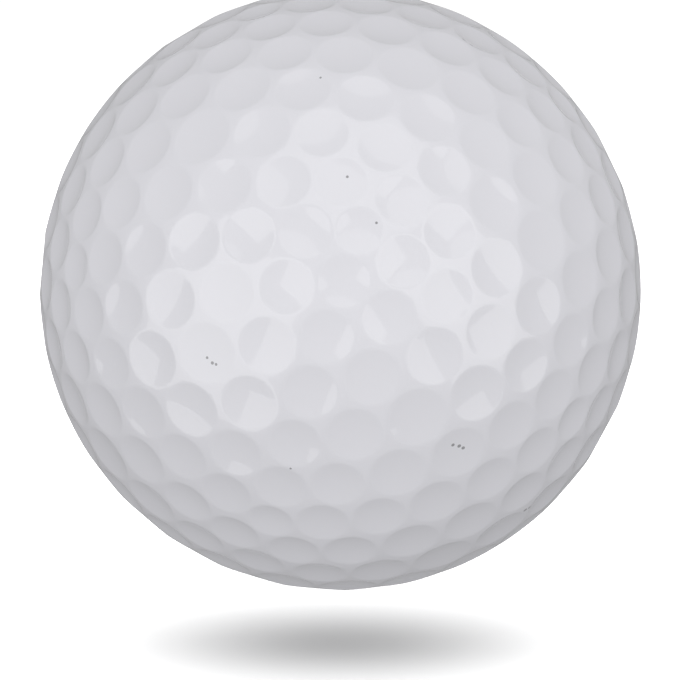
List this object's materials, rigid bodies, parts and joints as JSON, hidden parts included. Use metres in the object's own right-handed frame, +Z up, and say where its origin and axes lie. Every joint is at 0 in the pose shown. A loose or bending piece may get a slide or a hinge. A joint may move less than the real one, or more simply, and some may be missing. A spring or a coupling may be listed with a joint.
{
  "type": "light-up golf ball",
  "caption": "Dimpled white golf ball with a clear core round a sealed capsule of coin cells, LEDs and a coil-spring impact switch that lights it when it is struck.",
  "frame": {"origin": "centre of the ball", "axes": "+Z up along the axis of the boards and the impact switch, -Z down to the tee, -Y towards the viewer in the picture"},
  "size_m": [0.0426, 0.0426, 0.0426],
  "materials": {
    "cover": "glossy white ionomer, buffed",
    "core": "clear springy resin",
    "capsule": "clear polycarbonate",
    "board": "green solder mask on glass laminate",
    "holder": "black moulded plastic",
    "cell": "brushed steel can",
    "contact": "stamped brass",
    "steel": "bright drawn wire",
    "led": "white base under a clear dome",
    "chip": "black moulding compound",
    "capacitor": "tan ceramic with tinned ends",
    "resistor": "black glaze with tinned ends",
    "switch_plastic": "black moulded plastic",
    "switch_metal": "drawn brass can, nickel washed"
  },
  "bodies": {
    "ball": {"cover_upper": "cover", "cover_lower": "cover", "core_upper": "core", "core_lower": "core", "capsule_upper": "capsule", "capsule_lower": "capsule", "upper_board": "board", "lower_board": "board", "cell_holder": "holder", "upper_cell": "cell", "lower_cell": "cell", "upper_contact": "contact", "lower_contact": "contact", "link_pin_1": "steel", "link_pin_2": "steel", "link_pin_3": "steel", "led_upper_1": "led", "led_upper_2": "led", "led_upper_3": "led", "led_lower_1": "led", "led_lower_2": "led", "led_lower_3": "led", "controller_chip": "chip", "timing_capacitor": "capacitor", "timing_resistor": "resistor", "led_resistor_1": "resistor", "led_resistor_2": "resistor", "led_resistor_3": "resistor", "switch_base": "switch_plastic", "switch_pin": "steel", "switch_can": "switch_metal"},
    "spring": {"switch_spring": "steel"}
  },
  "joints": [
    {"name": "spring_sway", "type": "hinge", "parent": "ball", "child": "spring", "pos_m": [0, 0, 0.0044], "axis": [0, 1, 0], "range_deg": [-5.5, 5.5], "stiffness_Nm_per_rad": 0.000012}
  ]
}
